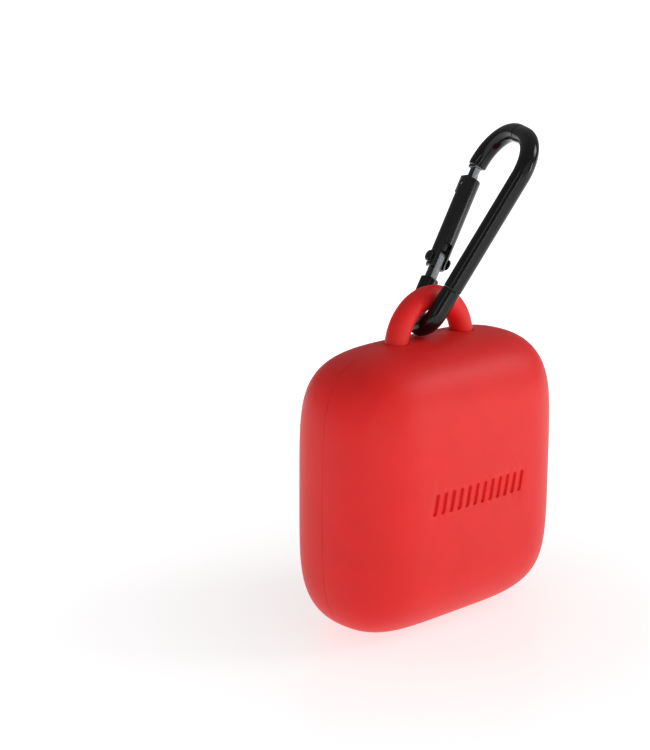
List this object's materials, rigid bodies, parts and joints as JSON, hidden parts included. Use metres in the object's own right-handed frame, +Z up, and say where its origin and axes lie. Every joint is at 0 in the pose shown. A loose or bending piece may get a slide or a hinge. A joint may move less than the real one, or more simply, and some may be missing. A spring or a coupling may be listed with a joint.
{
  "type": "mouthguard case",
  "caption": "Pillow-shaped red silicone mouthguard case with a moulded hanging loop and a black snap carabiner, opening like a clamshell with the mouthguard inside.",
  "frame": {"origin": "centre of the flat foot on the case's bottom edge, on the floor", "axes": "+X along the case's width to the hinge side, -Y out of the front face, +Z up towards the loop and carabiner"},
  "size_m": [0.0773, 0.0377, 0.1271],
  "materials": {
    "silicone": "soft matte silicone",
    "plastic": "fine-grained moulded",
    "seal": "matte",
    "steel": "plain",
    "tray": "fine-grained moulded",
    "guard": "satin",
    "liner": "satin gel",
    "anodised": "glossy black anodised",
    "dark": "plain"
  },
  "bodies": {
    "rear_half": {"rear_cover": "silicone", "rear_shell": "plastic", "rim_seal": "seal", "hinge_pin": "steel", "lanyard_loop": "silicone", "rear_magnet_lower": "steel", "rear_magnet_upper": "steel", "cradle": "tray"},
    "front_half": {"front_cover": "silicone", "front_shell": "plastic", "front_magnet_lower": "steel", "front_magnet_upper": "steel"},
    "mouthguard": {"mouthguard_frame": "guard", "mouthguard_liner": "liner"},
    "carabiner": {"carabiner_body": "anodised", "gate_hinge_rivet": "anodised"},
    "gate": {"gate": "anodised", "gate_nose_pin": "steel", "gate_spring": "steel"},
    "plunger": {"gate_plunger": "dark"}
  },
  "joints": [
    {"name": "lid_hinge", "type": "hinge", "parent": "rear_half", "child": "front_half", "pos_m": [0.0379, -0.0006, 0.03703], "axis": [0, 0, 1], "range_deg": [0, 170]},
    {"name": "mouthguard_lift", "type": "slide", "parent": "rear_half", "child": "mouthguard", "axis": [0, -1, 0], "range_m": [0, 0.015]},
    {"name": "carabiner_swing", "type": "hinge", "parent": "rear_half", "child": "carabiner", "pos_m": [0, 0, 0.08467], "axis": [0.9235, -0.3659, -0.1153], "range_deg": [-75, 88]},
    {"name": "gate_pivot", "type": "hinge", "parent": "carabiner", "child": "gate", "pos_m": [0.00889, 0.00598, 0.09203], "axis": [0.8007, -0.3162, -0.5088], "range_deg": [0, 32], "stiffness_Nm_per_rad": 0.02, "springref_deg": -20.05},
    {"name": "plunger_slide", "type": "slide", "parent": "gate", "child": "plunger", "axis": [0.5436, 0.0267, 0.8389], "range_m": [0, 0.0006], "stiffness_N_per_m": 0.5, "springref_m": -0.002}
  ],
  "couplings": [
    {"joint": "mouthguard_lift", "follows": "lid_hinge", "m_per_rad": 0.005}
  ]
}
